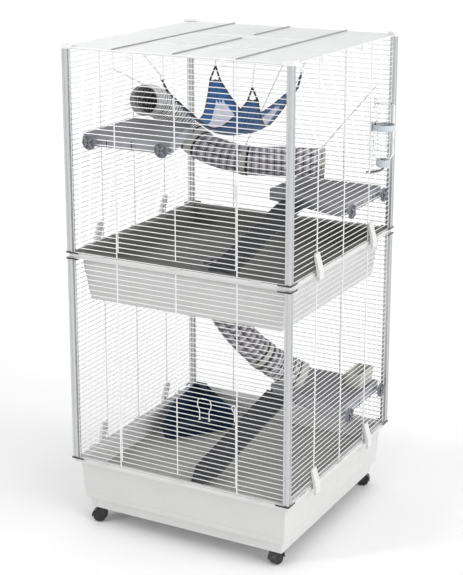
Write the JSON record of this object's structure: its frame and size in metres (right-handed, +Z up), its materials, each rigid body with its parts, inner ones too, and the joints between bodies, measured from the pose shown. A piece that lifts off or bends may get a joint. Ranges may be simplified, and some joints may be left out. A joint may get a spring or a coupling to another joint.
{
  "type": "small animal cage",
  "caption": "Tall two-storey wire cage on swivel casters, with deep plastic trays, wire doors, slatted ramps, corner platforms, fabric tunnels and a hammock",
  "frame": {"origin": "on the floor, under the middle of the whole object's outline seen from above", "axes": "+X is the cage's right as seen from its front, -Y is the front with the two doors, +Z is up"},
  "size_m": [0.8716, 0.7936, 1.6],
  "materials": {
    "grey_plastic": "light grey moulded plastic, satin",
    "dark_plastic": "dark grey moulded liner",
    "white_wire": "white coated steel wire",
    "post_metal": "satin extruded aluminium",
    "platform_plastic": "blue-grey moulded plastic",
    "knob_plastic": "blue-grey moulded plastic",
    "ramp_plastic": "dark grey slatted plastic",
    "black_plastic": "black moulded plastic",
    "plaid_fabric": "grey and lilac checked woven fabric",
    "blue_fabric": "blue quilted fabric",
    "bowl_plastic": "pale beige-grey moulded plastic",
    "navy_plastic": "navy moulded plastic",
    "clear_plastic": "clear plastic bottle with a blue-grey cap"
  },
  "bodies": {
    "cage": {"base_tray": "grey_plastic", "mid_tray": "grey_plastic", "mid_floor": "dark_plastic", "lower_post_front_left": "post_metal", "lower_post_front_right": "post_metal", "lower_post_back_left": "post_metal", "lower_post_back_right": "post_metal", "lower_wall_front": "white_wire", "lower_wall_back": "white_wire", "lower_wall_left": "white_wire", "lower_wall_right": "white_wire", "upper_post_front_left": "post_metal", "upper_post_front_right": "post_metal", "upper_post_back_left": "post_metal", "upper_post_back_right": "post_metal", "upper_wall_front": "white_wire", "upper_wall_back": "white_wire", "upper_wall_left": "white_wire", "upper_wall_right": "white_wire", "roof_panel": "white_wire", "upper_left_platform": "platform_plastic", "upper_right_platform": "platform_plastic", "lower_right_platform": "platform_plastic", "upper_tunnel": "plaid_fabric", "lower_tunnel": "plaid_fabric", "hammock": "blue_fabric"},
    "lower_front_door": {"lower_front_door": "white_wire"},
    "lower_latch_left": {"lower_latch_left": "white_wire"},
    "lower_latch_right": {"lower_latch_right": "white_wire"},
    "upper_front_door": {"upper_front_door": "white_wire"},
    "upper_latch_left": {"upper_latch_left": "white_wire"},
    "upper_latch_right": {"upper_latch_right": "white_wire"},
    "roof_door": {"roof_door": "white_wire"},
    "base_clip_front_left": {"base_clip_front_left": "grey_plastic"},
    "base_clip_front_right": {"base_clip_front_right": "grey_plastic"},
    "base_clip_back_left": {"base_clip_back_left": "grey_plastic"},
    "base_clip_back_right": {"base_clip_back_right": "grey_plastic"},
    "mid_clip_front_left": {"mid_clip_front_left": "grey_plastic"},
    "mid_clip_front_right": {"mid_clip_front_right": "grey_plastic"},
    "mid_clip_back_left": {"mid_clip_back_left": "grey_plastic"},
    "mid_clip_back_right": {"mid_clip_back_right": "grey_plastic"},
    "upper_left_knob_left": {"upper_left_knob_left": "knob_plastic"},
    "upper_left_knob_right": {"upper_left_knob_right": "knob_plastic"},
    "upper_right_knob_front": {"upper_right_knob_front": "knob_plastic"},
    "upper_right_knob_back": {"upper_right_knob_back": "knob_plastic"},
    "lower_right_knob_front": {"lower_right_knob_front": "knob_plastic"},
    "lower_right_knob_back": {"lower_right_knob_back": "knob_plastic"},
    "upper_right_ramp": {"upper_right_ramp": "ramp_plastic"},
    "lower_right_ramp": {"lower_right_ramp": "ramp_plastic"},
    "caster_hood_front_left": {"caster_hood_front_left": "black_plastic"},
    "caster_wheels_front_left": {"caster_wheels_front_left": "black_plastic"},
    "caster_hood_back_left": {"caster_hood_back_left": "black_plastic"},
    "caster_wheels_back_left": {"caster_wheels_back_left": "black_plastic"},
    "caster_hood_front_right": {"caster_hood_front_right": "black_plastic"},
    "caster_wheels_front_right": {"caster_wheels_front_right": "black_plastic"},
    "caster_hood_back_right": {"caster_hood_back_right": "black_plastic"},
    "caster_wheels_back_right": {"caster_wheels_back_right": "black_plastic"},
    "bowl": {"bowl": "bowl_plastic"},
    "litter_pan": {"litter_pan": "navy_plastic"},
    "water_bottle": {"water_bottle": "clear_plastic"}
  },
  "joints": [
    {"name": "lower_front_door_hinge", "type": "hinge", "parent": "cage", "child": "lower_front_door", "pos_m": [-0.02575, -0.38075, 0.254], "axis": [1, 0, 0], "range_deg": [0, 135]},
    {"name": "lower_latch_left_slide", "type": "slide", "parent": "lower_front_door", "child": "lower_latch_left", "axis": [0, 0, -1], "range_m": [0, 0.022]},
    {"name": "lower_latch_right_slide", "type": "slide", "parent": "lower_front_door", "child": "lower_latch_right", "axis": [0, 0, -1], "range_m": [0, 0.022]},
    {"name": "upper_front_door_hinge", "type": "hinge", "parent": "cage", "child": "upper_front_door", "pos_m": [-0.02575, -0.38075, 0.957], "axis": [1, 0, 0], "range_deg": [0, 135]},
    {"name": "upper_latch_left_slide", "type": "slide", "parent": "upper_front_door", "child": "upper_latch_left", "axis": [0, 0, -1], "range_m": [0, 0.022]},
    {"name": "upper_latch_right_slide", "type": "slide", "parent": "upper_front_door", "child": "upper_latch_right", "axis": [0, 0, -1], "range_m": [0, 0.022]},
    {"name": "roof_door_hinge", "type": "hinge", "parent": "cage", "child": "roof_door", "pos_m": [-0.02575, 0.09875, 1.5913], "axis": [-1, 0, 0], "range_deg": [0, 170]},
    {"name": "base_clip_front_left_hinge", "type": "hinge", "parent": "cage", "child": "base_clip_front_left", "pos_m": [-0.42975, -0.20325, 0.21], "axis": [0, -1, 0], "range_deg": [0, 90]},
    {"name": "base_clip_front_right_hinge", "type": "hinge", "parent": "cage", "child": "base_clip_front_right", "pos_m": [0.37825, -0.20325, 0.21], "axis": [0, 1, 0], "range_deg": [0, 90]},
    {"name": "base_clip_back_left_hinge", "type": "hinge", "parent": "cage", "child": "base_clip_back_left", "pos_m": [-0.42975, 0.20675, 0.21], "axis": [0, -1, 0], "range_deg": [0, 90]},
    {"name": "base_clip_back_right_hinge", "type": "hinge", "parent": "cage", "child": "base_clip_back_right", "pos_m": [0.37825, 0.20675, 0.21], "axis": [0, 1, 0], "range_deg": [0, 90]},
    {"name": "mid_clip_front_left_hinge", "type": "hinge", "parent": "cage", "child": "mid_clip_front_left", "pos_m": [-0.42975, -0.20325, 0.913], "axis": [0, -1, 0], "range_deg": [0, 90]},
    {"name": "mid_clip_front_right_hinge", "type": "hinge", "parent": "cage", "child": "mid_clip_front_right", "pos_m": [0.37825, -0.20325, 0.913], "axis": [0, 1, 0], "range_deg": [0, 90]},
    {"name": "mid_clip_back_left_hinge", "type": "hinge", "parent": "cage", "child": "mid_clip_back_left", "pos_m": [-0.42975, 0.20675, 0.913], "axis": [0, -1, 0], "range_deg": [0, 90]},
    {"name": "mid_clip_back_right_hinge", "type": "hinge", "parent": "cage", "child": "mid_clip_back_right", "pos_m": [0.37825, 0.20675, 0.913], "axis": [0, 1, 0], "range_deg": [0, 90]},
    {"name": "upper_left_knob_left_turn", "type": "hinge", "parent": "cage", "child": "upper_left_knob_left", "pos_m": [-0.32775, -0.38175, 1.301], "axis": [0, -1, 0], "continuous": true},
    {"name": "upper_left_knob_right_turn", "type": "hinge", "parent": "cage", "child": "upper_left_knob_right", "pos_m": [-0.06775, -0.38175, 1.301], "axis": [0, -1, 0], "continuous": true},
    {"name": "upper_right_knob_front_turn", "type": "hinge", "parent": "cage", "child": "upper_right_knob_front", "pos_m": [0.36275, 0.04775, 1.068], "axis": [1, 0, 0], "continuous": true},
    {"name": "upper_right_knob_back_turn", "type": "hinge", "parent": "cage", "child": "upper_right_knob_back", "pos_m": [0.36275, 0.30775, 1.068], "axis": [1, 0, 0], "continuous": true},
    {"name": "lower_right_knob_front_turn", "type": "hinge", "parent": "cage", "child": "lower_right_knob_front", "pos_m": [0.36275, 0.06575, 0.373], "axis": [1, 0, 0], "continuous": true},
    {"name": "lower_right_knob_back_turn", "type": "hinge", "parent": "cage", "child": "lower_right_knob_back", "pos_m": [0.36275, 0.32575, 0.373], "axis": [1, 0, 0], "continuous": true},
    {"name": "upper_right_ramp_hinge", "type": "hinge", "parent": "cage", "child": "upper_right_ramp", "pos_m": [0.16562, 0.06086, 1.074], "axis": [-0.9487, 0.3162, 0], "range_deg": [0, 30]},
    {"name": "lower_right_ramp_hinge", "type": "hinge", "parent": "cage", "child": "lower_right_ramp", "pos_m": [0.08972, 0.10416, 0.379], "axis": [-0.9487, 0.3162, 0], "range_deg": [0, 30]},
    {"name": "caster_swivel_front_left", "type": "hinge", "parent": "cage", "child": "caster_hood_front_left", "pos_m": [-0.34475, -0.33225, 0.048], "axis": [0, 0, 1], "continuous": true},
    {"name": "caster_roll_front_left", "type": "hinge", "parent": "caster_hood_front_left", "child": "caster_wheels_front_left", "pos_m": [-0.35603, -0.33635, 0.021], "axis": [0.342, -0.9397, 0], "continuous": true},
    {"name": "caster_swivel_back_left", "type": "hinge", "parent": "cage", "child": "caster_hood_back_left", "pos_m": [-0.34475, 0.33575, 0.048], "axis": [0, 0, 1], "continuous": true},
    {"name": "caster_roll_back_left", "type": "hinge", "parent": "caster_hood_back_left", "child": "caster_wheels_back_left", "pos_m": [-0.35514, 0.34175, 0.021], "axis": [-0.5, -0.866, 0], "continuous": true},
    {"name": "caster_swivel_front_right", "type": "hinge", "parent": "cage", "child": "caster_hood_front_right", "pos_m": [0.29325, -0.33225, 0.048], "axis": [0, 0, 1], "continuous": true},
    {"name": "caster_roll_front_right", "type": "hinge", "parent": "caster_hood_front_right", "child": "caster_wheels_front_right", "pos_m": [0.29636, -0.32066, 0.021], "axis": [-0.9659, 0.2588, 0], "continuous": true},
    {"name": "caster_swivel_back_right", "type": "hinge", "parent": "cage", "child": "caster_hood_back_right", "pos_m": [0.29325, 0.33575, 0.048], "axis": [0, 0, 1], "continuous": true},
    {"name": "caster_roll_back_right", "type": "hinge", "parent": "caster_hood_back_right", "child": "caster_wheels_back_right", "pos_m": [0.30453, 0.33985, 0.021], "axis": [-0.342, 0.9397, 0], "continuous": true},
    {"name": "bowl_lift", "type": "slide", "parent": "cage", "child": "bowl", "axis": [0, 0, 1], "range_m": [0, 0.3]},
    {"name": "litter_pan_lift", "type": "slide", "parent": "cage", "child": "litter_pan", "axis": [0, 0, 1], "range_m": [0, 0.35]},
    {"name": "water_bottle_lift", "type": "slide", "parent": "cage", "child": "water_bottle", "axis": [1, 0, 0], "range_m": [0, 0.12]}
  ]
}
